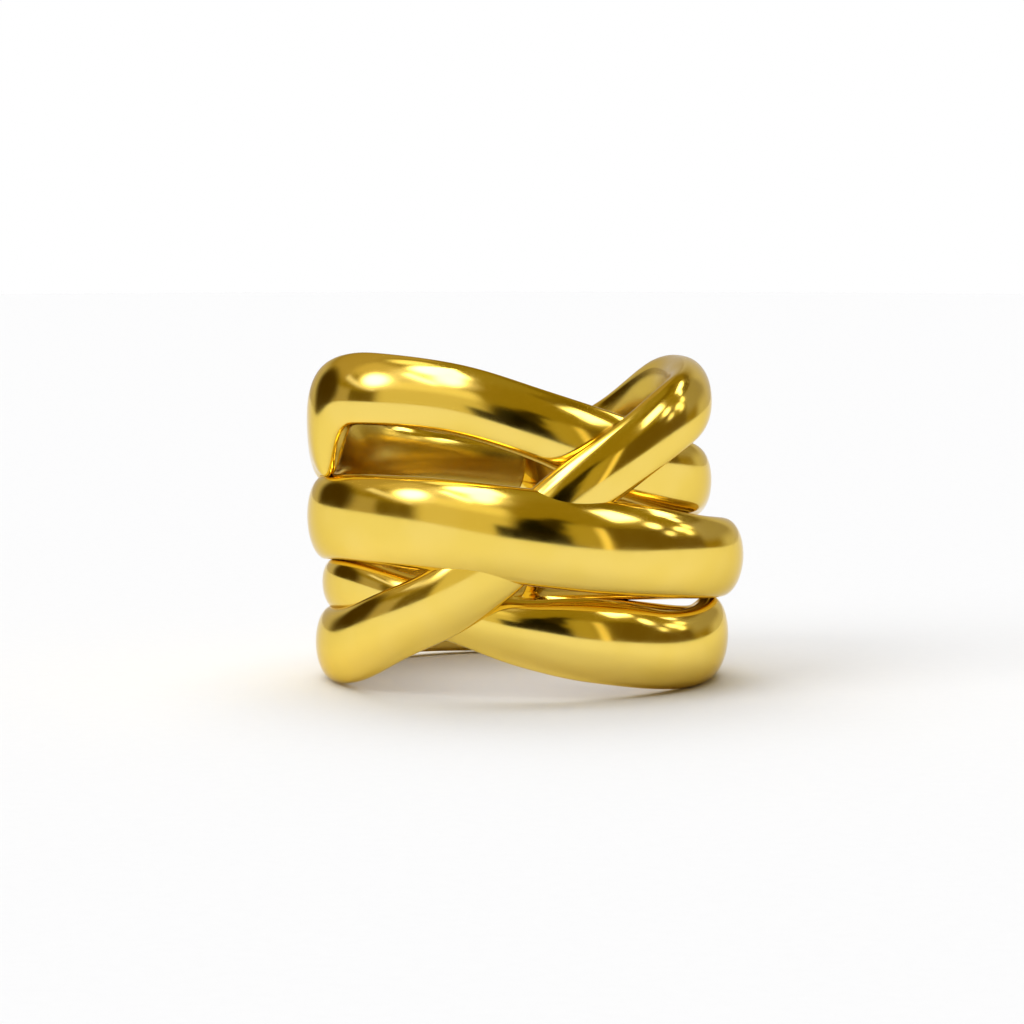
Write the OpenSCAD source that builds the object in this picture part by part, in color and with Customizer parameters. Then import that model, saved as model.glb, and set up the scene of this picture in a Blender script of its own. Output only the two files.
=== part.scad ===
/* [Band] */
// Diameter of the finger bore
bore_d = 17.1; // [15:0.1:21]
// Height of the top one of the four lanes that the strands share at the back
top_lane = 2; // [1.5:0.05:2.5]
// Spacing of the lanes
lane_step = 2.55; // [2.4:0.05:2.7]
// Size of a strand along the bore where it runs in a lane
lane_wide = 3.2; // [2.9:0.05:3.3]
// Thickness of a strand where it runs in a lane
lane_thick = 1.7; // [1.5:0.05:1.9]

/* [Opening] */
// Distance between the two ends at the back
gap_w = 0.6; // [0.5:0.1:1.2]
// Slant of the ends, so that no light shows between them from the front
gap_slant = 52; // [30:1:55]
// Length of the rounded nose on each end
nose = 0.35; // [0.3:0.05:0.6]

/* [Pose] */
// How far back the band leans where it lies on its lower edge
lean = 2.4; // [1:0.1:5]
// How far it tips to its left
roll = 1.5; // [0:0.1:3]

/* [Detail] */
// Sides round a strand
sides = 16; // [12:2:20]
// Rings along a strand
rings = 64; // [48:4:80]

/* [Hidden] */
gold = "goldenrod";
bore_r = bore_d / 2;
back = 180;
// Middle of the wall at the back, on which the opening is measured
shank_r = bore_r + lane_thick / 2;
function turn(distance) = distance / shank_r * 180 / PI;
end_azimuth = back - turn(gap_w / 2);
// Where the ends begin to turn into the slant of the opening
slant_start = 130;
// How far to each side of a section its strand's direction is measured
SIGHT = 0.5;
// Power that flattens the half of a section next to the finger, where 1 leaves it round
FLAT = 0.8;
// Rings over the rounded nose of an end
NOSE_RINGS = 3;

// Columns of the strand tables. Azimuth is 0 at the front and positive to the right.
// Height is the centre's place along the bore, out is how far the outer face stands from the
// bore's wall, wide and thick are the section's two sizes, tilt turns its face upwards, and drop
// is how much further its lower half reaches.
AZIMUTH = 0;
HEIGHT = 1;
OUT = 2;
WIDE = 3;
THICK = 4;
TILT = 5;
DROP = 6;

// Table row of a strand that ends in a lane, with the lanes counted from the top
function lane_row(azimuth, number) =
    [azimuth, top_lane - (number - 1) * lane_step, lane_thick, lane_wide, lane_thick, 0, 0];

// Runs from the highest place on the left down to the second on the right, under the crossing strand
HIGH = [
    lane_row(-back, 1),
    [-150, 3.0, 1.70, 2.8, 1.7, 0, 0.1],
    [-118, 3.9, 1.70, 3.6, 1.7, 1, 0.3],
    [-92, 4.65, 1.68, 4.6, 1.7, 3, 0.1],
    [-80, 5.4, 1.80, 4.2, 1.75, 6, 0.7],
    [-64, 6.52, 2.33, 3.7, 1.8, 10, 2.05],
    [-55, 6.93, 2.50, 3.62, 1.8, 13, 0.2],
    [-45, 7.1, 2.50, 3.55, 1.8, 16, 0],
    [-17, 6.5, 1.75, 3.4, 1.75, 12, 0],
    [8, 5.15, 1.50, 3.4, 1.6, 10, 0],
    [30, 3.95, 1.45, 3.4, 1.6, 5, 0.5],
    [60, 2.6, 1.40, 3.2, 1.5, -3, 0.5],
    [90, 1.8, 1.25, 3.0, 1.45, -2, 0],
    [130, 0.5, 1.55, 2.8, 1.6, 0, 0],
    lane_row(back, 2),
];

// Broadest strand, over all the others at the front
MIDDLE = [
    lane_row(-back, 2),
    [-130, -0.1, 1.75, 3.2, 1.75, 0, 0],
    [-90, 0.45, 1.80, 4.05, 1.8, 1, 0],
    [-57, 0.8, 2.40, 4.2, 1.9, -3, 0],
    [-25, 0.6, 3.00, 4.5, 2.1, -3, 0],
    [0, 0.0, 3.30, 4.6, 2.2, 1, 0],
    [25, -0.75, 3.30, 4.5, 2.2, 2, 0],
    [55, -1.55, 3.05, 4.1, 2.2, -6, 0],
    [90, -2.05, 2.70, 3.8, 2.1, -4, 0],
    [133, -3.1, 2.10, 2.9, 1.9, 0, 0],
    lane_row(back, 3),
];

// Runs from the third place on the left down to the lowest on the right, under the crossing strand
LOW = [
    lane_row(-back, 3),
    [-130, -3.1, 1.50, 2.7, 1.6, 0, 0],
    [-90, -2.85, 1.20, 2.6, 1.4, -3, 0],
    [-55, -2.75, 1.40, 2.8, 1.5, -8, 0],
    [-20, -3.8, 1.60, 2.7, 1.6, -8, 0],
    [0, -4.75, 1.75, 3.2, 1.75, -8, 0],
    [15, -5.1, 1.85, 3.9, 1.8, -1, 0],
    [30, -5.5, 1.90, 4.05, 1.9, -1, 0],
    [45, -5.97, 1.95, 3.86, 1.9, -4, 0],
    [62, -6.1, 1.95, 3.92, 1.9, -5, 0],
    [90, -5.85, 1.90, 3.95, 1.9, -3, 0],
    [112, -6.2, 1.85, 3.1, 1.8, 0, 0],
    [135, -6.05, 1.80, 2.7, 1.8, 0, 0],
    lane_row(back, 4),
];

// Runs from the lowest place on the left up to the highest on the right, between the layers
CROSSING = [
    lane_row(-back, 4),
    [-130, -5.48, 1.60, 3.04, 1.6, 0, 0],
    [-90, -5.62, 1.60, 3.4, 1.6, 2, 0],
    [-58, -5.48, 1.90, 3.74, 1.6, 1, 0],
    [-33, -4.1, 2.40, 3.4, 1.6, -3, 0],
    [-17, -2.9, 2.70, 3.35, 1.6, -4, 0],
    [0, -0.6, 2.80, 3.3, 1.6, 0, 0],
    [15, 1.75, 2.80, 3.1, 1.6, 0, 0],
    [35, 4.0, 2.70, 3.1, 1.6, 1, 0],
    [50, 5.3, 2.50, 3.4, 1.7, 2, 0],
    [65, 5.9, 1.95, 3.4, 2.0, 7, 0],
    [80, 6.4, 1.40, 3.1, 2.2, 9, 0],
    [98, 6.65, 1.15, 2.9, 2.2, 10, 0],
    [118, 6.55, 1.30, 2.9, 2.1, 8, 0],
    [135, 5.5, 1.50, 3.0, 1.8, 4, 0],
    [155, 3.8, 1.70, 2.85, 1.6, 0, 0],
    lane_row(back, 1),
];

// Slope of one column at row i, from the rows on both sides of it
function slope(table, i, column) =
    let (
        before = max(i - 1, 0),
        after = min(i + 1, len(table) - 1)
    )
    (table[after][column] - table[before][column]) / (table[after][AZIMUTH] - table[before][AZIMUTH]);

// Row of the table that starts the span holding an azimuth
function span_start(table, azimuth, i = 0) =
    i >= len(table) - 2 || azimuth < table[i + 1][AZIMUTH] ? i : span_start(table, azimuth, i + 1);

// One column's value at any azimuth, along a smooth curve through the rows
function value(table, azimuth, column) =
    let (
        i = span_start(table, azimuth),
        a = table[i],
        b = table[i + 1],
        length = b[AZIMUTH] - a[AZIMUTH],
        t = (azimuth - a[AZIMUTH]) / length,
        rise = t * t * (3 - 2 * t)
    )
    a[column] * (1 - rise) + b[column] * rise
    + slope(table, i, column) * length * t * (1 - t) * (1 - t)
    - slope(table, i + 1, column) * length * t * t * (1 - t);

// Place in the band's own frame: azimuth round the bore, distance from its axis, height along it
function polar(azimuth, radius, height) = [radius * sin(azimuth), -radius * cos(azimuth), height];

// The middle of a strand's section at an azimuth
function middle(table, azimuth) = polar(
    azimuth,
    bore_r + value(table, azimuth, OUT) - value(table, azimuth, THICK) / 2,
    value(table, azimuth, HEIGHT)
);

function unit(v) = v / norm(v);

// Turns with growing distance from the front, so that the two ends keep a slanted gap
function slanted(point) =
    let (
        radius = norm([point.x, point.y]),
        azimuth = atan2(point.x, -point.y),
        share = max(0, (abs(azimuth) - slant_start) / (back - slant_start)),
        shift = tan(gap_slant) * (radius - shank_r) * share * share * (3 - 2 * share)
    )
    polar(azimuth + shift / radius * 180 / PI, radius, point.z);

// How much of its full size the section has left at a distance from its end
function nose_size(distance) = distance >= nose ? 1 : sqrt(max(0, 1 - pow(1 - distance / nose, 2)));

// Sine or cosine of a section's point, raised to a power and with its sign kept
function squared(share, power) = sign(share) * pow(abs(share), power);

// One ring of points round a strand
function section(table, azimuth, size) =
    let (
        centre = middle(table, azimuth),
        along = unit(middle(table, azimuth + SIGHT) - middle(table, azimuth - SIGHT)),
        radial = polar(azimuth, 1, 0),
        down = unit(cross(along, radial)),
        face = unit(cross(down, along)),
        tilt = value(table, azimuth, TILT),
        wide = value(table, azimuth, WIDE) / 2 * size,
        thick = value(table, azimuth, THICK) / 2 * size,
        drop = value(table, azimuth, DROP) * size
    )
    [for (k = [0:sides - 1])
        let (
            angle = k * 360 / sides,
            power = cos(angle) < 0 ? FLAT : 1,
            u = thick * squared(cos(angle), power),
            v = (wide + (sin(angle) > 0 ? drop : 0)) * squared(sin(angle), power)
        )
        slanted(centre
            + face * (u * cos(tilt) + v * sin(tilt))
            + down * (v * cos(tilt) - u * sin(tilt)))
    ];

// Leans and tips the band as it lies
function posed(p) =
    let (
        tipped = [p.x * cos(roll) - p.z * sin(roll), p.y, p.x * sin(roll) + p.z * cos(roll)]
    )
    [
        tipped.x,
        tipped.y * cos(lean) + tipped.z * sin(lean),
        -tipped.y * sin(lean) + tipped.z * cos(lean)
    ];

// Azimuths of a strand's rings, closer together over the two noses
nose_end = end_azimuth - turn(nose);
nose_azimuths = [for (k = [1:NOSE_RINGS]) turn(nose) * (1 - cos(90 * k / NOSE_RINGS))];
AZIMUTHS = concat(
    [for (shift = nose_azimuths) shift - end_azimuth],
    [for (k = [1:rings - 1]) nose_end * (2 * k / rings - 1)],
    [for (k = [1:NOSE_RINGS]) end_azimuth - nose_azimuths[NOSE_RINGS - k]]
);

// Every point of a strand: the tip of one end, the rings, and the tip of the other end
function strand_points(table) =
    concat(
        [posed(slanted(middle(table, -end_azimuth)))],
        [for (azimuth = AZIMUTHS)
            let (size = nose_size((end_azimuth - abs(azimuth)) * PI / 180 * shank_r))
            each [for (point = section(table, azimuth, size)) posed(point)]
        ],
        [posed(slanted(middle(table, end_azimuth)))]
    );

// Triangles of a strand with a number of rings, its two tips included
function strand_faces(count) =
    let (last = count * sides + 1)
    concat(
        [for (k = [0:sides - 1]) [0, 1 + k, 1 + (k + 1) % sides]],
        [for (j = [0:count - 2], k = [0:sides - 1])
            let (
                a = 1 + j * sides + k,
                b = 1 + j * sides + (k + 1) % sides
            )
            each [[a, a + sides, b], [b, a + sides, b + sides]]
        ],
        [for (k = [0:sides - 1])
            [last, last - sides + (k + 1) % sides, last - sides + k]
        ]
    );

STRANDS = [strand_points(HIGH), strand_points(MIDDLE), strand_points(LOW), strand_points(CROSSING)];

// Middle of the lowest level of the whole band, which becomes the origin
function column_of(axis) = [for (points = STRANDS) each [for (p = points) p[axis]]];
foot = [
    (min(column_of(0)) + max(column_of(0))) / 2,
    (min(column_of(1)) + max(column_of(1))) / 2,
    min(column_of(2))
];

module strand(points) {
    polyhedron(points = [for (p = points) p - foot], faces = strand_faces(len(AZIMUTHS)));
}

module interlaced_band() {
    color(gold)
    union() {
        for (points = STRANDS) strand(points);
    }
}

interlaced_band();
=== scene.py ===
"""The looks of the interlaced open ring: its polished band, the floor it lies on, the light and the camera.

The band stands for the frame's faceted solid of the same shape. Its strands are swept through tables of
sections, in millimetres, and the finished mesh is set on the solid's own box, in metres.
"""

import logging
import math
from dataclasses import dataclass
from enum import Enum
from typing import Iterable, NamedTuple, Union

import bmesh
import bpy
from mathutils import Matrix, Vector


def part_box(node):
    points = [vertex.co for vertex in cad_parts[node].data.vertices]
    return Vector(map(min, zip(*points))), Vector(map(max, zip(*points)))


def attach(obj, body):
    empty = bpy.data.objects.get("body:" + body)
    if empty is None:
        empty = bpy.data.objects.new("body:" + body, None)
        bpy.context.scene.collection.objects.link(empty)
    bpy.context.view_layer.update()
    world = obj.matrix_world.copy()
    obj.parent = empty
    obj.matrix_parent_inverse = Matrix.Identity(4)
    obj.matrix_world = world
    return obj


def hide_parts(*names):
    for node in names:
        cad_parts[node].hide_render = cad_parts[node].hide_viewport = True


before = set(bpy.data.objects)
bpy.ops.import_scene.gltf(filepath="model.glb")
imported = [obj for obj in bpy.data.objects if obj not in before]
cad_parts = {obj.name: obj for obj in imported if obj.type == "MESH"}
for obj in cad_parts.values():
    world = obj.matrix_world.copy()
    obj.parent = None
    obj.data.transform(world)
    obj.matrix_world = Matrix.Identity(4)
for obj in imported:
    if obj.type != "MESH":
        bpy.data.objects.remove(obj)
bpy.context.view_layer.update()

LOG = logging.getLogger("ring")
MM = 0.001
HALF_TURN = 180.0
NODE = "interlaced_band"
BODY = "root"
# Name of the mark on the inner faces, which makes them satin and paints them darker gold as shade.
INSIDE = "inside"

Number = Union[int, float]
Colour = tuple[float, float, float]
Span = tuple[float, float]

DAYLIGHT: Colour = (0.98, 1.0, 1.04)


# Shader nodes


class Wire:
    """An output socket of a shader node that takes part in Python expressions."""

    def __init__(self, desk: "Desk", socket: bpy.types.NodeSocket) -> None:
        """Keeps the socket and the tree that it belongs to."""
        self.desk = desk
        self.socket = socket

    def __add__(self, other: "Value") -> "Wire":
        """Sum of two values."""
        return self.desk.maths("ADD", self, other)

    def __sub__(self, other: "Value") -> "Wire":
        """Difference of two values."""
        return self.desk.maths("SUBTRACT", self, other)

    def __rsub__(self, other: "Value") -> "Wire":
        """Difference of a number and this value."""
        return self.desk.maths("SUBTRACT", other, self)

    def __mul__(self, other: "Value") -> "Wire":
        """Product of two values."""
        return self.desk.maths("MULTIPLY", self, other)

    def __abs__(self) -> "Wire":
        """Size of a value without its sign."""
        return self.desk.maths("ABSOLUTE", self)

    __radd__ = __add__
    __rmul__ = __mul__


Value = Union[Wire, Number]


class Desk:
    """A node tree on which materials and the world are wired up."""

    def __init__(self, tree: bpy.types.NodeTree) -> None:
        """Clears the tree.

        Args:
            tree: Node tree of a material or of the world.
        """
        self.tree = tree
        tree.nodes.clear()

    def node(self, kind: str, settings: dict | None = None, inputs: dict | None = None) -> bpy.types.Node:
        """Adds one node.

        Args:
            kind: Type name of the node.
            settings: Properties of the node, set before its sockets.
            inputs: Values or wires for its input sockets, by name or number.

        Returns:
            The new node.
        """
        node = self.tree.nodes.new(kind)
        for name, setting in (settings or {}).items():
            setattr(node, name, setting)
        for name, value in (inputs or {}).items():
            if isinstance(value, Wire):
                self.tree.links.new(value.socket, node.inputs[name])
            else:
                node.inputs[name].default_value = value
        return node

    def wire(self, node: bpy.types.Node, output: str | int = 0) -> Wire:
        """Gives one output of a node for use in expressions."""
        return Wire(self, node.outputs[output])

    def maths(self, operation: str, *values: Value) -> Wire:
        """Adds a Math node.

        Args:
            operation: The node's operation.
            values: Its operands, numbers or wires.

        Returns:
            The result.
        """
        return self.wire(self.node("ShaderNodeMath", {"operation": operation}, dict(enumerate(values))))

    def ramp(self, value: Wire, low: float, high: float, start: Number = 0.0, end: Number = 1.0) -> Wire:
        """Eases from start to end while a value goes from low to high.

        Args:
            value: What is read.
            low: Where the change begins.
            high: Where it ends.
            start: Result at low and below.
            end: Result at high and above.

        Returns:
            The eased value.
        """
        inputs = {"Value": value, "From Min": low, "From Max": high, "To Min": start, "To Max": end}
        return self.wire(self.node("ShaderNodeMapRange", {"interpolation_type": "SMOOTHSTEP"}, inputs))

    def blend(self, share: Value, first: Union[Wire, Colour], second: Union[Wire, Colour]) -> Wire:
        """Mixes two colours.

        Args:
            share: Share of the second colour.
            first: Colour at 0.
            second: Colour at 1.

        Returns:
            The mixed colour.
        """
        # The node's colour sockets share their names with its others, so they go by number.
        inputs = {0: share, 6: opaque(first), 7: opaque(second)}
        return self.wire(self.node("ShaderNodeMix", {"data_type": "RGBA"}, inputs), 2)

    def place(self) -> Wire:
        """Gives the place on the piece, in its Object coordinates."""
        return self.wire(self.node("ShaderNodeTexCoord"), "Object")

    def noise(self, place: Wire, scale: float, detail: float = 2.0) -> Wire:
        """Adds a noise pattern.

        Args:
            place: Where the pattern is read.
            scale: How many of its waves go into a metre.
            detail: How many times a finer pattern is laid over it.

        Returns:
            The pattern's value, mostly near 0.5.
        """
        inputs = {"Vector": place, "Scale": scale, "Detail": detail}
        return self.wire(self.node("ShaderNodeTexNoise", None, inputs))


def opaque(colour: Union[Wire, Colour]) -> Union[Wire, tuple[float, ...]]:
    """Gives a colour its fourth channel, and leaves a wire as it is."""
    return colour if isinstance(colour, Wire) else (*colour, 1.0)


def fresh_material(name: str) -> tuple[bpy.types.Material, Desk]:
    """Starts a material without nodes.

    Args:
        name: The material's name.

    Returns:
        The material, and the desk on which its nodes are wired up.
    """
    material = bpy.data.materials.new(name)
    material.use_nodes = True
    return material, Desk(material.node_tree)


# Finishes


@dataclass(frozen=True)
class PolishedGold:
    """Mirror-polished gold with faint cloudy tone and fine polishing marks.

    A span is the stretch of a pattern's values over which the finish changes.

    The inner faces are satin, and their darker gold is painted shade for the dim bore.
    """

    warm: Colour = (0.90, 0.655, 0.12)
    pale: Colour = (0.92, 0.68, 0.15)
    # Painted shade: darker gold for the inner faces, where the bore lies in shade.
    inner: Colour = (0.64, 0.45, 0.08)
    rim: Colour = (0.82, 0.74, 0.52)
    tone_scale: float = 260.0
    tone_span: Span = (0.35, 0.65)
    haze_scale: float = 900.0
    haze_detail: float = 4.0
    haze_span: Span = (0.3, 0.7)
    smooth: float = 0.10
    hazy: float = 0.14
    satin: float = 0.12
    inside_span: Span = (0.35, 0.65)
    mark_scale: float = 5200.0
    mark_depth: float = 0.02
    mark_distance: float = 0.01 * MM

    def material(self) -> bpy.types.Material:
        """Makes the material.

        Returns:
            A metal whose tone, gloss and polishing marks vary over the surface, with its inner faces
            darkened as painted shade.
        """
        material, desk = fresh_material("polished_gold")
        place = desk.place()
        tone = desk.noise(place, self.tone_scale)
        haze = desk.noise(place, self.haze_scale, self.haze_detail)
        marks = desk.noise(place, self.mark_scale)
        relief = {"Strength": self.mark_depth, "Distance": self.mark_distance, "Height": marks}
        bump = desk.wire(desk.node("ShaderNodeBump", None, relief))
        mark = desk.wire(desk.node("ShaderNodeAttribute", {"attribute_name": INSIDE}), "Fac")
        inside = desk.ramp(mark, *self.inside_span)
        polish = desk.ramp(haze, *self.haze_span, self.smooth, self.hazy)
        outer = desk.blend(desk.ramp(tone, *self.tone_span), self.warm, self.pale)
        metal = desk.node(
            "ShaderNodeBsdfPrincipled",
            None,
            {
                # The inner faces take the darker gold, which is painted shade for the dim bore.
                "Base Color": desk.blend(inside, outer, self.inner),
                "Metallic": 1.0,
                "Specular Tint": opaque(self.rim),
                "Roughness": polish + inside * self.satin,
                "Normal": bump,
            },
        )
        desk.node("ShaderNodeOutputMaterial", None, {"Surface": desk.wire(metal)})
        return material


@dataclass(frozen=True)
class PalePaper:
    """Matte white paper with a faint tooth."""

    colour: Colour = (0.86, 0.86, 0.86)
    shade: Colour = (0.84, 0.84, 0.84)
    tooth_scale: float = 1500.0
    roughness: float = 0.9

    def material(self) -> bpy.types.Material:
        """Makes the material.

        Returns:
            A matte white with a faint unevenness.
        """
        material, desk = fresh_material("pale_paper")
        tooth = desk.noise(desk.place(), self.tooth_scale)
        paper = desk.node(
            "ShaderNodeBsdfPrincipled",
            None,
            {
                "Base Color": desk.blend(tooth, self.colour, self.shade),
                "Roughness": self.roughness,
                "Specular IOR Level": 0.0,
            },
        )
        desk.node("ShaderNodeOutputMaterial", None, {"Surface": desk.wire(paper)})
        return material


# Objects


def in_scene(name: str, data: bpy.types.ID) -> bpy.types.Object:
    """Puts new data into the scene.

    Args:
        name: The object's name.
        data: Its mesh, camera or light.

    Returns:
        The object, at the origin.
    """
    item = bpy.data.objects.new(name, data)
    bpy.context.scene.collection.objects.link(item)
    return item


def shaped(name: str, mesh: bmesh.types.BMesh, material: bpy.types.Material) -> bpy.types.Object:
    """Turns a finished bmesh into an object, and frees it.

    Args:
        name: The object's name.
        mesh: Its shape, in metres.
        material: What it is made of.

    Returns:
        The object, at the origin.
    """
    data = bpy.data.meshes.new(name)
    mesh.to_mesh(data)
    mesh.free()
    data.materials.append(material)
    return in_scene(name, data)


# The band


class Station(NamedTuple):
    """One section of a strand, in millimetres and degrees."""

    azimuth: float
    height: float
    out: float
    wide: float
    thick: float
    tilt: float
    drop: float


class Side(Enum):
    """End of a strand at the opening, by the sign of its azimuth."""

    LEFT = -1
    RIGHT = 1


@dataclass(frozen=True)
class Lane:
    """Where a strand runs beside the others at the back of the band, in millimetres."""

    number: int
    side: Side
    top: float = 2.0
    step: float = 2.55
    wide: float = 3.2
    thick: float = 1.7

    def station(self) -> Station:
        """Gives the section at the strand's end, with the lanes counted from the top."""
        height = self.top - (self.number - 1) * self.step
        azimuth = self.side.value * HALF_TURN
        return Station(azimuth, height, self.thick, self.wide, self.thick, 0.0, 0.0)


# Where a strand's curve is read for its average, in spreads of the bell curve that weighs it.
SOFTENING = tuple(step / 2 for step in range(-4, 5))


@dataclass(frozen=True)
class Strand:
    """One strand of the band, from its left end at the back, over the front, to its right end.

    Azimuth is 0 at the front and positive to the right. Height is the centre's place along the bore, out is
    how far the outer face stands from the bore's wall, tilt turns the face upwards, and drop is how much
    further the section's lower half reaches. Soften is the spread, in degrees, of the bell curve that the
    table's curve is averaged with.
    """

    name: str
    left: Lane
    rows: tuple[tuple[float, ...], ...]
    right: Lane
    soften: float = 3.0

    def stations(self) -> list[Station]:
        """Lists all sections in order of azimuth."""
        return [self.left.station(), *(Station(*row) for row in self.rows), self.right.station()]

    def at(self, azimuth: float) -> Station:
        """Works out the section at an azimuth, on a curve without kinks.

        Args:
            azimuth: Degrees from the front.

        Returns:
            The mean of the table's curve over a short arc, so that reflections run evenly past each row.
        """
        shares = {shift: math.exp(-shift * shift / 2) for shift in SOFTENING}
        total = sum(shares.values())
        table = self.stations()
        columns = [0.0] * len(Station._fields)
        for shift, share in shares.items():
            point = curve_point(table, azimuth + shift * self.soften)
            columns = [column + value * share / total for column, value in zip(columns, point)]
        return Station(*columns)


def ease(share: float) -> float:
    """Rises from 0 to 1 as a share does, and is level at both ends."""
    return share * share * (3 - 2 * share)


def curve_point(table: list[Station], azimuth: float) -> list[float]:
    """Reads a table of sections at any azimuth, along a cubic curve through its rows.

    Args:
        table: Sections in order of azimuth.
        azimuth: Degrees from the front.

    Returns:
        The values of all columns.
    """
    azimuth = max(table[0].azimuth, min(table[-1].azimuth, azimuth))
    start = max(i for i in range(len(table) - 1) if i == 0 or table[i].azimuth <= azimuth)
    here, there = table[start], table[start + 1]
    length = there.azimuth - here.azimuth
    t = (azimuth - here.azimuth) / length
    rise = ease(t)
    slopes = []
    for i in (start, start + 1):
        before, after = table[max(i - 1, 0)], table[min(i + 1, len(table) - 1)]
        slopes.append([(b - a) / (after.azimuth - before.azimuth) for a, b in zip(before, after)])
    return [
        a * (1 - rise) + b * rise + length * t * (1 - t) * (leave * (1 - t) - arrive * t)
        for a, b, leave, arrive in zip(here, there, *slopes)
    ]


STRANDS = (
    Strand(
        "high",
        Lane(1, Side.LEFT),
        (
            (-150, 3.0, 1.70, 2.8, 1.7, 0, 0.1),
            (-118, 3.9, 1.70, 3.6, 1.7, 1, 0.3),
            (-92, 4.65, 1.68, 4.6, 1.7, 3, 0.1),
            (-80, 5.4, 1.80, 4.2, 1.75, 6, 0.7),
            (-64, 6.52, 2.33, 3.7, 1.8, 10, 2.05),
            (-55, 6.93, 2.50, 3.62, 1.8, 13, 0.2),
            (-45, 7.1, 2.50, 3.55, 1.8, 16, 0),
            (-17, 6.5, 1.75, 3.4, 1.75, 12, 0),
            (8, 5.15, 1.50, 3.4, 1.6, 10, 0),
            (30, 3.95, 1.45, 3.4, 1.6, 5, 0.5),
            (60, 2.6, 1.40, 3.2, 1.5, -3, 0.5),
            (90, 1.8, 1.25, 3.0, 1.45, -2, 0),
            (130, 0.5, 1.55, 2.8, 1.6, 0, 0),
        ),
        Lane(2, Side.RIGHT),
    ),
    Strand(
        "middle",
        Lane(2, Side.LEFT),
        (
            (-130, -0.1, 1.75, 3.2, 1.75, 0, 0),
            (-90, 0.45, 1.80, 4.05, 1.8, 1, 0),
            (-57, 0.8, 2.40, 4.2, 1.9, -3, 0),
            (-25, 0.6, 3.00, 4.5, 2.1, -3, 0),
            (0, 0.0, 3.30, 4.6, 2.2, 1, 0),
            (25, -0.75, 3.30, 4.5, 2.2, 2, 0),
            (55, -1.55, 3.05, 4.1, 2.2, -6, 0),
            (90, -2.05, 2.70, 3.8, 2.1, -4, 0),
            (133, -3.1, 2.10, 2.9, 1.9, 0, 0),
        ),
        Lane(3, Side.RIGHT),
    ),
    Strand(
        "low",
        Lane(3, Side.LEFT),
        (
            (-130, -3.1, 1.50, 2.7, 1.6, 0, 0),
            (-90, -2.85, 1.20, 2.6, 1.4, -3, 0),
            (-55, -2.75, 1.40, 2.8, 1.5, -8, 0),
            (-20, -3.8, 1.60, 2.7, 1.6, -8, 0),
            (0, -4.75, 1.75, 3.2, 1.75, -8, 0),
            (15, -5.1, 1.85, 3.9, 1.8, -1, 0),
            (30, -5.5, 1.90, 4.05, 1.9, -1, 0),
            (45, -5.97, 1.95, 3.86, 1.9, -4, 0),
            (62, -6.1, 1.95, 3.92, 1.9, -5, 0),
            (90, -5.85, 1.90, 3.95, 1.9, -3, 0),
            (112, -6.2, 1.85, 3.1, 1.8, 0, 0),
            (135, -6.05, 1.80, 2.7, 1.8, 0, 0),
        ),
        Lane(4, Side.RIGHT),
    ),
    Strand(
        "crossing",
        Lane(4, Side.LEFT),
        (
            (-130, -5.48, 1.60, 3.04, 1.6, 0, 0),
            (-90, -5.62, 1.60, 3.4, 1.6, 2, 0),
            (-58, -5.48, 1.90, 3.74, 1.6, 1, 0),
            (-33, -4.1, 2.40, 3.4, 1.6, -3, 0),
            (-17, -2.9, 2.70, 3.35, 1.6, -4, 0),
            (0, -0.6, 2.80, 3.3, 1.6, 0, 0),
            (15, 1.75, 2.80, 3.1, 1.6, 0, 0),
            (35, 4.0, 2.70, 3.1, 1.6, 1, 0),
            (50, 5.3, 2.50, 3.4, 1.7, 2, 0),
            (65, 5.9, 1.95, 3.4, 2.0, 7, 0),
            (80, 6.4, 1.40, 3.1, 2.2, 9, 0),
            (98, 6.65, 1.15, 2.9, 2.2, 10, 0),
            (118, 6.55, 1.30, 2.9, 2.1, 8, 0),
            (135, 5.5, 1.50, 3.0, 1.8, 4, 0),
            (155, 3.8, 1.70, 2.85, 1.6, 0, 0),
        ),
        Lane(1, Side.RIGHT),
    ),
)


class Placing(NamedTuple):
    """Where the unit section goes, with one matrix for its upper half and one for its lower."""

    upper: Matrix
    lower: Matrix

    def carry(self, mesh: bmesh.types.BMesh, ring: list[bmesh.types.BMVert], there: "Placing") -> "Placing":
        """Moves a section on to its next place.

        Args:
            mesh: Mesh that holds the section.
            ring: The section's points.
            there: The next place.

        Returns:
            The next place.
        """
        home = self.upper.inverted()
        # The unit section's y axis points down the bore.
        lower = [vert for vert in ring if (home @ vert.co).y > 0]
        upper = [vert for vert in ring if (home @ vert.co).y <= 0]
        bmesh.ops.transform(mesh, matrix=there.upper @ home, verts=upper)
        bmesh.ops.transform(mesh, matrix=there.lower @ self.lower.inverted(), verts=lower)
        return there


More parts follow.
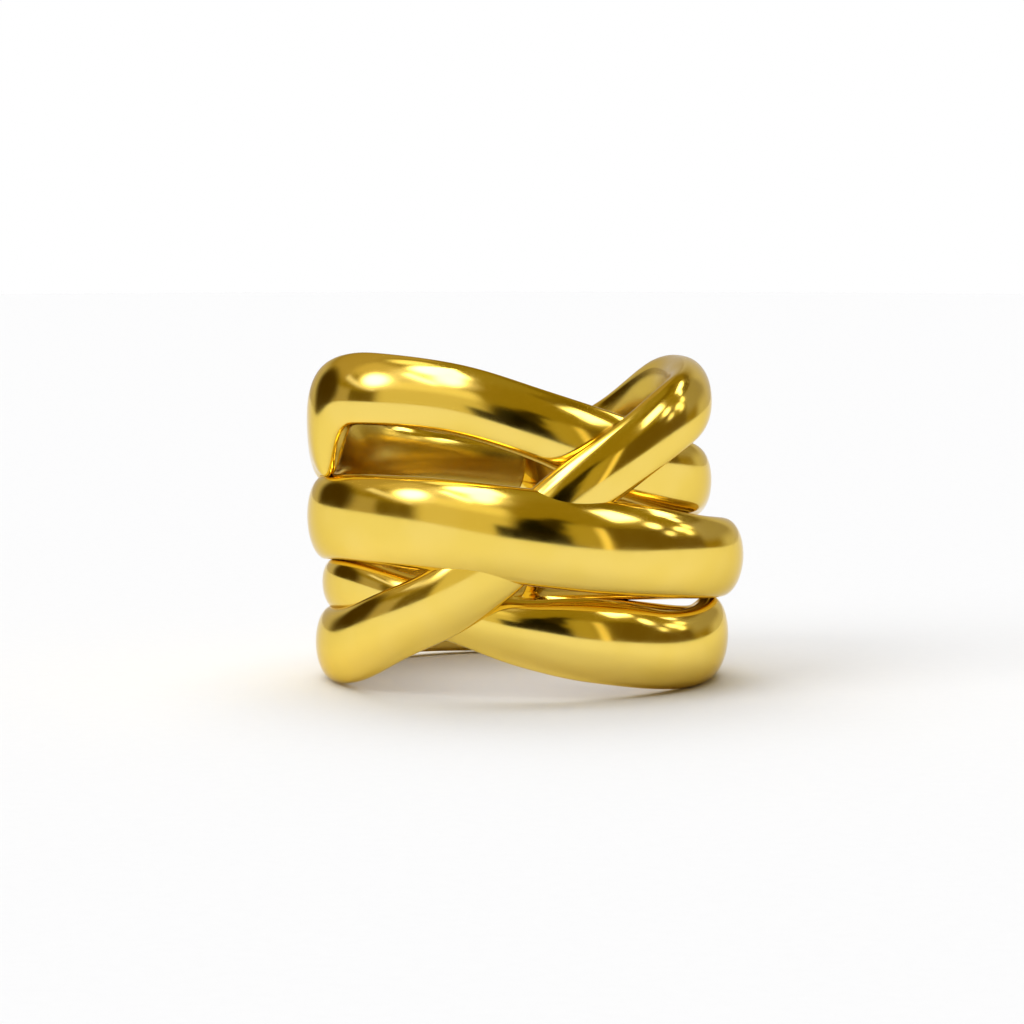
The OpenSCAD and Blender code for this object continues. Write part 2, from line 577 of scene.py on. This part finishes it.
@dataclass(frozen=True)
class Band:
    """The ring's band: four strands cast in one, open at the back.

    Lengths are in millimetres and angles in degrees. Sight is how far to either side a strand's direction is
    read, flat is the power that flattens a section next to the finger, and satin_and_shade_half is how much
    of that side is satin and darker gold as painted shade, each way from its middle.
    """

    bore_radius: float = 8.55
    shank_middle: float = 0.85
    opening: float = 0.6
    slant: float = 52.0
    slant_start: float = 130.0
    nose: float = 0.35
    nose_rings: int = 4
    lean: float = 2.4
    roll: float = 1.5
    sides: int = 24
    rings: int = 124
    smoothing: int = 1
    sight: float = 0.25
    flat: float = 0.8
    satin_and_shade_half: float = 0.68
    finish: PolishedGold = PolishedGold()

    @property
    def shank_radius(self) -> float:
        """Radius of the middle of the wall at the back, in millimetres."""
        return self.bore_radius + self.shank_middle

    @property
    def end(self) -> float:
        """Azimuth of the right ends, at the opening."""
        return HALF_TURN - self.turn(self.opening / 2)

    def turn(self, distance: float) -> float:
        """Degrees round the shank that a distance along it takes up."""
        return math.degrees(distance / self.shank_radius)

    def polar(self, azimuth: float, radius: float, height: float) -> Vector:
        """Place in the band's own frame, in millimetres."""
        angle = math.radians(azimuth)
        return Vector((radius * math.sin(angle), -radius * math.cos(angle), height))

    def middle(self, strand: Strand, azimuth: float) -> Vector:
        """Middle of a strand's section at an azimuth, in millimetres."""
        here = strand.at(azimuth)
        return self.polar(azimuth, self.bore_radius + here.out - here.thick / 2, here.height)

    def azimuths(self) -> list[float]:
        """Azimuths of a strand's rings, closer together over its two noses."""
        nose = self.turn(self.nose)
        inner = self.end - nose
        angles = [math.pi / 2 * step / self.nose_rings for step in range(1, self.nose_rings)]
        steps = [nose * (1 - math.cos(angle)) for angle in angles]
        run = [inner * (2 * step / self.rings - 1) for step in range(self.rings + 1)]
        return [step - self.end for step in steps] + run + [self.end - step for step in reversed(steps)]

    def placing(self, strand: Strand, azimuth: float) -> Placing:
        """Works out where the unit section goes at an azimuth.

        Args:
            strand: The strand.
            azimuth: Degrees from the front.

        Returns:
            The matrices that scale, turn and move its two halves.
        """
        here = strand.at(azimuth)
        # Over the nose, the section shrinks towards its tip along a quarter of an ellipse.
        to_tip = math.radians(self.end - abs(azimuth)) * self.shank_radius
        size = math.sqrt(max(0.0, 1 - max(0.0, 1 - to_tip / self.nose) ** 2))
        behind = self.middle(strand, azimuth - self.sight)
        ahead = self.middle(strand, azimuth + self.sight)
        along = (ahead - behind).normalized()
        down = along.cross(self.polar(azimuth, 1, 0)).normalized()
        face = down.cross(along)
        axes = Matrix((face, down, along)).transposed().to_4x4()
        tilt = Matrix.Rotation(math.radians(-here.tilt), 4, "Z")
        place = Matrix.Translation(self.middle(strand, azimuth)) @ axes @ tilt
        upper, lower = (
            place @ Matrix.Diagonal((here.thick / 2 * size, half * size, 1.0, 1.0))
            for half in (here.wide / 2, here.wide / 2 + here.drop)
        )
        return Placing(upper, lower)

    def slanted(self, point: Vector) -> Vector:
        """Turns a point by its distance from the wall's middle, so that the opening cuts the wall aslant.

        Args:
            point: Place in the band's own frame.

        Returns:
            The place after the turn.
        """
        radius = math.hypot(point.x, point.y)
        azimuth = math.degrees(math.atan2(point.x, -point.y))
        share = max(0.0, (abs(azimuth) - self.slant_start) / (HALF_TURN - self.slant_start))
        shift = math.tan(math.radians(self.slant)) * (radius - self.shank_radius) * ease(share)
        return self.polar(azimuth + math.degrees(shift / radius), radius, point.z)

    def section(self, mesh: bmesh.types.BMesh) -> list[bmesh.types.BMVert]:
        """Makes the unit section, round outside and flatter next to the finger.

        It is a little large, because the smoothing draws each corner of a circle in to (2 + cosine) / 3 of
        its radius. Its inner face is marked for satin and for darker gold that is painted shade.

        Args:
            mesh: Mesh that takes the section.

        Returns:
            The section's points.
        """
        inside = mesh.verts.layers.float.get(INSIDE) or mesh.verts.layers.float.new(INSIDE)
        ring = bmesh.ops.create_circle(mesh, cap_ends=False, radius=1.0, segments=self.sides)["verts"]
        for vert in ring:
            if vert.co.x < 0:
                vert.co.x = -(abs(vert.co.x) ** self.flat)
                vert.co.y = math.copysign(abs(vert.co.y) ** self.flat, vert.co.y)
                # The mark makes these faces satin and paints them darker gold as shade.
                vert[inside] = 1.0 if abs(vert.co.y) < self.satin_and_shade_half else 0.0
        reach = 3 / (2 + math.cos(math.tau / self.sides))
        bmesh.ops.scale(mesh, vec=(reach, reach, 1.0), verts=ring)
        return ring

    def sweep(self, mesh: bmesh.types.BMesh, strand: Strand) -> None:
        """Sweeps a strand's section along its run and closes both ends.

        Args:
            mesh: Mesh that takes the strand.
            strand: The strand.
        """
        azimuths = self.azimuths()
        ring = self.section(mesh)
        unmoved = Placing(Matrix.Identity(4), Matrix.Identity(4))
        last = unmoved.carry(mesh, ring, self.placing(strand, azimuths[0]))
        edges = first_edges = edges_within(ring)
        for azimuth in azimuths[1:]:
            grown = bmesh.ops.extrude_edge_only(mesh, edges=edges)["geom"]
            ring = [item for item in grown if isinstance(item, bmesh.types.BMVert)]
            edges = edges_within(ring)
            last = last.carry(mesh, ring, self.placing(strand, azimuth))
        for rim, azimuth in ((first_edges, -self.end), (edges, self.end)):
            cap = bmesh.ops.contextual_create(mesh, geom=rim)["faces"]
            tip = bmesh.ops.poke(mesh, faces=cap)["verts"][0]
            tip.co = self.middle(strand, azimuth)

    def lay(self, mesh: bmesh.types.BMesh) -> None:
        """Leans the band as it rests, and sets it on the box of the solid that it stands for.

        Args:
            mesh: The band, upright and in millimetres.
        """
        lean = Matrix.Rotation(math.radians(-self.lean), 4, "X")
        roll = Matrix.Rotation(math.radians(-self.roll), 4, "Y")
        bmesh.ops.transform(mesh, matrix=Matrix.Scale(MM, 4) @ (lean @ roll), verts=mesh.verts)
        bmesh.ops.translate(mesh, vec=foot_shift(mesh.verts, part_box(NODE)), verts=mesh.verts)

    def build(self) -> bpy.types.Object:
        """Builds and dresses the band.

        Returns:
            The finished object.
        """
        mesh = bmesh.new()
        for strand in STRANDS:
            self.sweep(mesh, strand)
            LOG.info("%s strand: %d sections", strand.name, len(strand.stations()))
        for vert in mesh.verts:
            vert.co = self.slanted(vert.co)
        bmesh.ops.recalc_face_normals(mesh, faces=mesh.faces)
        self.lay(mesh)
        for face in mesh.faces:
            face.smooth = True
        band = shaped("polished_band", mesh, self.finish.material())
        smooth = band.modifiers.new("smooth", "SUBSURF")
        smooth.levels = smooth.render_levels = self.smoothing
        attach(band, BODY)
        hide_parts(NODE)
        return band


def edges_within(ring: list[bmesh.types.BMVert]) -> list[bmesh.types.BMEdge]:
    """Lists the edges that join the points of a ring to one another, each once and in the ring's order."""
    members = set(ring)
    found = (edge for vert in ring for edge in vert.link_edges if edge.other_vert(vert) in members)
    return list(dict.fromkeys(found))


def foot_shift(verts: Iterable[bmesh.types.BMVert], box: tuple[Vector, Vector]) -> Vector:
    """Finds the move that sets a mesh on the foot of a box.

    Args:
        verts: Points of the mesh.
        box: Lowest and highest corner of the box.

    Returns:
        The move from the middle of the mesh's underside to that of the box.
    """
    places = [vert.co for vert in verts]
    low = Vector([min(place[axis] for place in places) for axis in range(3)])
    high = Vector([max(place[axis] for place in places) for axis in range(3)])
    foot = Vector(((low.x + high.x) / 2, (low.y + high.y) / 2, low.z))
    return Vector(((box[0].x + box[1].x) / 2, (box[0].y + box[1].y) / 2, box[0].z)) - foot


# The stage


@dataclass(frozen=True)
class Floor:
    """The sheet of pale paper that the ring lies on."""

    radius: float = 400 * MM
    segments: int = 128
    finish: PalePaper = PalePaper()

    def build(self) -> bpy.types.Object:
        """Lays the sheet level under the ring.

        Returns:
            The floor.
        """
        mesh = bmesh.new()
        bmesh.ops.create_circle(mesh, cap_ends=True, radius=self.radius, segments=self.segments)
        floor = shaped("floor", mesh, self.finish.material())
        return floor


@dataclass(frozen=True)
class Camera:
    """The camera, at the photograph's angle to the ring.

    It looks at a point a little beside the middle of the ring's box, by aim_left and aim_up.
    """

    elevation: float = 5.6
    distance: float = 220 * MM
    nearest: float = 10 * MM
    lens: float = 155.4
    aim_left: float = 0.667 * MM
    aim_up: float = -0.015 * MM

    def build(self) -> bpy.types.Object:
        """Sets the camera up and makes it the scene's own.

        Returns:
            The camera.
        """
        low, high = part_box(NODE)
        angle = math.radians(self.elevation)
        back = Vector((0.0, -math.cos(angle), math.sin(angle)))
        centre = Vector((0.0, 0.0, (low.z + high.z) / 2))
        data = bpy.data.cameras.new("camera")
        data.lens = self.lens
        data.clip_start = self.nearest
        camera = in_scene("camera", data)
        camera.location = centre + back * self.distance
        aim = centre + Vector((-self.aim_left, 0.0, self.aim_up))
        camera.rotation_euler = (aim - camera.location).to_track_quat("-Z", "Y").to_euler()
        bpy.context.scene.camera = camera
        return camera


class Outline(Enum):
    """Outline of a patch of the room."""

    BOX = "box"
    OVAL = "oval"


@dataclass(frozen=True)
class Patch:
    """Lit or dark part of the room, by where it stands round the ring.

    All angles are in degrees. Azimuth is 0 towards the camera and positive to the right, wide and high are
    half of its two sizes, soft is how far its edge takes to fade, and turn raises its right end. Colours are
    linear, and above 1 where the patch is a light. A later patch covers an earlier one.
    """

    name: str
    azimuth: float
    elevation: float
    wide: float
    high: float
    soft: float
    colour: Colour
    outline: Outline = Outline.BOX
    turn: float = 0.0

    def mask(self, desk: Desk, azimuth: Wire, elevation: Wire) -> Wire:
        """Wires up where the patch is.

        Args:
            desk: The world's desk.
            azimuth: Azimuth of a direction.
            elevation: Its elevation.

        Returns:
            1 inside the patch, falling to 0 over its edge.
        """
        along, across = azimuth - self.azimuth, elevation - self.elevation
        if self.turn:
            cosine, sine = math.cos(math.radians(self.turn)), math.sin(math.radians(self.turn))
            along, across = along * cosine + across * sine, across * cosine - along * sine
        edge = self.soft / 2
        if self.outline is Outline.BOX:
            in_width = desk.ramp(abs(along), self.wide - edge, self.wide + edge, 1, 0)
            in_height = desk.ramp(abs(across), self.high - edge, self.high + edge, 1, 0)
            return in_width * in_height
        along, across = along * (1 / self.wide), across * (1 / self.high)
        fade = edge / min(self.wide, self.high)
        return desk.ramp(along * along + across * across, (1 - fade) ** 2, (1 + fade) ** 2, 1, 0)


PATCHES = (
    Patch("ceiling", 0, 78, 200, 16, 20, (0.33, 0.26, 0.05)),
    Patch("ceiling light", -112, 74, 30, 8, 10, (1.5, 1.4, 1.1), Outline.OVAL),
    Patch("far wall on the left", -180, 6, 42, 12, 14, (0.62, 0.58, 0.55)),
    Patch("far wall on the right", 180, 8, 48, 14, 14, (0.68, 0.65, 0.62)),
    Patch("upper wall on the left", -140, 42, 45, 20, 12, (0.48, 0.38, 0.18)),
    Patch("pale wall by the window", -76, 46, 24, 14, 14, (0.68, 0.56, 0.30)),
    Patch("grey curtain", -102, 6, 18, 8, 6, (0.45, 0.38, 0.24)),
    Patch("dark shelf", -124, 8, 19, 15, 10, (0.06, 0.035, 0.0), Outline.OVAL),
    Patch("dark cabinet on the left", -70, 6, 15, 8, 7, (0.15, 0.105, 0.015)),
    Patch("lit wall", -31, 14, 27, 18, 10, (0.74, 0.65, 0.34)),
    Patch("lit top of the wall", -31, 29, 27, 6, 8, (1.0, 0.90, 0.55)),
    Patch("sloping sill", -80, 22, 20, 2.5, 4, (1.1, 1.05, 1.2), turn=-12),
    Patch("glow of the lower window", -65, 31, 16, 13, 8, (1.1, 1.0, 0.9), Outline.OVAL),
    Patch("lower window", -66, 31.5, 9, 7.5, 9, (6.5, 6.5, 6.5), Outline.OVAL),
    Patch("glow of the tall window", -31, 52, 28, 16, 14, (1.1, 1.0, 0.9), Outline.OVAL),
    Patch("tall window", -35, 73, 33, 17, 9, (6.5, 6.5, 6.5), Outline.OVAL, -10),
    Patch("corner of the tall window", -18, 54, 9, 13, 9, (6.0, 6.0, 6.0), Outline.OVAL),
    Patch("window bar", -37, 43.5, 14, 2.5, 5, (4.5, 4.5, 4.5), turn=-27),
    Patch("door behind the camera", 11, 11, 13, 14, 5, (0.005, 0.004, 0.0), Outline.OVAL),
    Patch("foot of the door", 11, 4, 24, 7, 4, (0.01, 0.006, 0.0)),
    Patch("dark picture", 24, 22, 10, 6.5, 5, (0.03, 0.02, 0.0), Outline.OVAL),
    Patch("wall beside the door", 35, 12, 7, 12, 6, (0.45, 0.36, 0.08)),
    Patch("dark cabinet on the right", 72, 12, 22, 12, 5, (0.15, 0.10, 0.01)),
    Patch("lit door frame", 47, 10, 2.6, 12, 3, (1.2, 1.0, 0.45)),
    Patch("shade under the ceiling", 105, 55, 48, 5, 8, (0.20, 0.14, 0.01)),
    Patch("dark foot of the right wall", 101, 5, 11, 7, 5, (0.15, 0.10, 0.02)),
    Patch("pale wall on the right", 132, 16, 20, 10, 8, (0.40, 0.36, 0.32)),
    Patch("arch", 138, 29, 24, 4, 4, (0.18, 0.13, 0.03), Outline.OVAL),
    Patch("right window", 70.5, 40.5, 10.5, 7.5, 6, (5.0, 5.0, 5.0), turn=10),
    Patch("round lamp", 84.5, 26, 4, 3.5, 4, (3.5, 3.4, 3.2), Outline.OVAL),
    Patch("small lamp", 90, 16, 3, 2.5, 3, (1.8, 1.7, 1.5), Outline.OVAL),
    Patch("left lamp of three", 101, 20, 4, 2.5, 3, (3.0, 2.9, 2.6), Outline.OVAL),
    Patch("middle lamp of three", 105, 16, 3, 3, 3, (2.5, 2.4, 2.0), Outline.OVAL),
    Patch("right lamp of three", 110, 22.5, 3, 3, 3, (2.5, 2.4, 2.0), Outline.OVAL),
    Patch("skylight", 127, 38.5, 13, 3, 4, (6.0, 6.0, 6.0), Outline.OVAL),
    Patch("end of the skylight", 116, 35, 6, 3, 4, (4.5, 4.5, 4.5), Outline.OVAL, 50),
)


@dataclass(frozen=True)
class Room:
    """What surrounds the floor: white to the camera, and a lit room in the band's reflections.

    Backdrop is what the camera sees, ambient is what lights the floor from all sides, and dim is the room
    where no patch stands.
    """

    backdrop: Colour = (1.0, 1.0, 1.0)
    ambient: Colour = (0.22, 0.20, 0.165)
    dim: Colour = (0.30, 0.22, 0.02)
    patches: tuple[Patch, ...] = PATCHES

    def build(self) -> None:
        """Wires up the scene's world."""
        world = bpy.data.worlds.new("room")
        bpy.context.scene.world = world
        world.use_nodes = True
        desk = Desk(world.node_tree)
        direction = desk.wire(desk.node("ShaderNodeTexCoord"), "Generated")
        parts = desk.node("ShaderNodeSeparateXYZ", None, {0: direction})
        right, away, up = (desk.wire(parts, axis) for axis in "XYZ")
        to_degrees = math.degrees(1)
        azimuth = desk.maths("ARCTAN2", right, away * -1) * to_degrees
        elevation = desk.maths("ARCSINE", up) * to_degrees
        colour: Union[Wire, Colour] = self.dim
        for patch in self.patches:
            colour = desk.blend(patch.mask(desk, azimuth, elevation), colour, patch.colour)
            colour.socket.node.label = patch.name
        lit = desk.wire(desk.node("ShaderNodeBackground", None, {"Color": colour}))
        seen = desk.wire(desk.node("ShaderNodeLightPath"), "Is Camera Ray")
        around = desk.blend(seen, self.ambient, self.backdrop)
        plain = desk.wire(desk.node("ShaderNodeBackground", None, {"Color": around}))
        mirrored = desk.wire(desk.node("ShaderNodeLightPath"), "Is Glossy Ray")
        surface = desk.wire(desk.node("ShaderNodeMixShader", None, {0: mirrored, 1: plain, 2: lit}))
        desk.node("ShaderNodeOutputWorld", None, {"Surface": surface})
        # Only mirror rays see the patches, so none of them needs to be sampled as a light.
        world.cycles.sampling_method = "NONE"


@dataclass(frozen=True)
class SoftLight:
    """Large soft light on the floor, which the metal doesn't mirror.

    Direction points from the ring to the light, and spread is the light's width in degrees, seen from there.
    """

    name: str
    direction: tuple[float, float, float]
    spread: float
    strength: float
    colour: Colour = DAYLIGHT

    def build(self) -> bpy.types.Object:
        """Hangs the light and points it at the ring.

        Returns:
            The light.
        """
        data = bpy.data.lights.new(self.name, "SUN")
        data.angle = math.radians(self.spread)
        data.energy = self.strength
        data.color = self.colour
        light = in_scene(self.name, data)
        light.location = self.direction
        light.rotation_euler = (-light.location).to_track_quat("-Z", "Y").to_euler()
        light.visible_glossy = False
        return light


LIGHTS = (
    SoftLight("overhead_light", (-0.12, 0.24, 0.96), 75.0, 1.8),
    SoftLight("back_light", (-0.06, 0.72, 0.69), 45.0, 0.85),
    SoftLight("front_light", (-0.66, -0.50, 0.56), 40.0, 1.2),
)


def main() -> None:
    """Builds the ring and its stage in order."""
    logging.basicConfig(level=logging.INFO, format="%(message)s")
    bpy.context.scene.view_settings.view_transform = "Standard"
    band = Band().build()
    LOG.info("%s: %d faces", band.name, len(band.data.polygons))
    floor = Floor().build()
    LOG.info("%s: %d faces", floor.name, len(floor.data.polygons))
    camera = Camera().build()
    LOG.info("%s: lens %.1f mm", camera.name, camera.data.lens)
    Room().build()
    LOG.info("room: %d patches", len(PATCHES))
    for soft_light in LIGHTS:
        light = soft_light.build()
        LOG.info("%s: strength %.2f", light.name, light.data.energy)


if __name__ == "__main__":
    main()
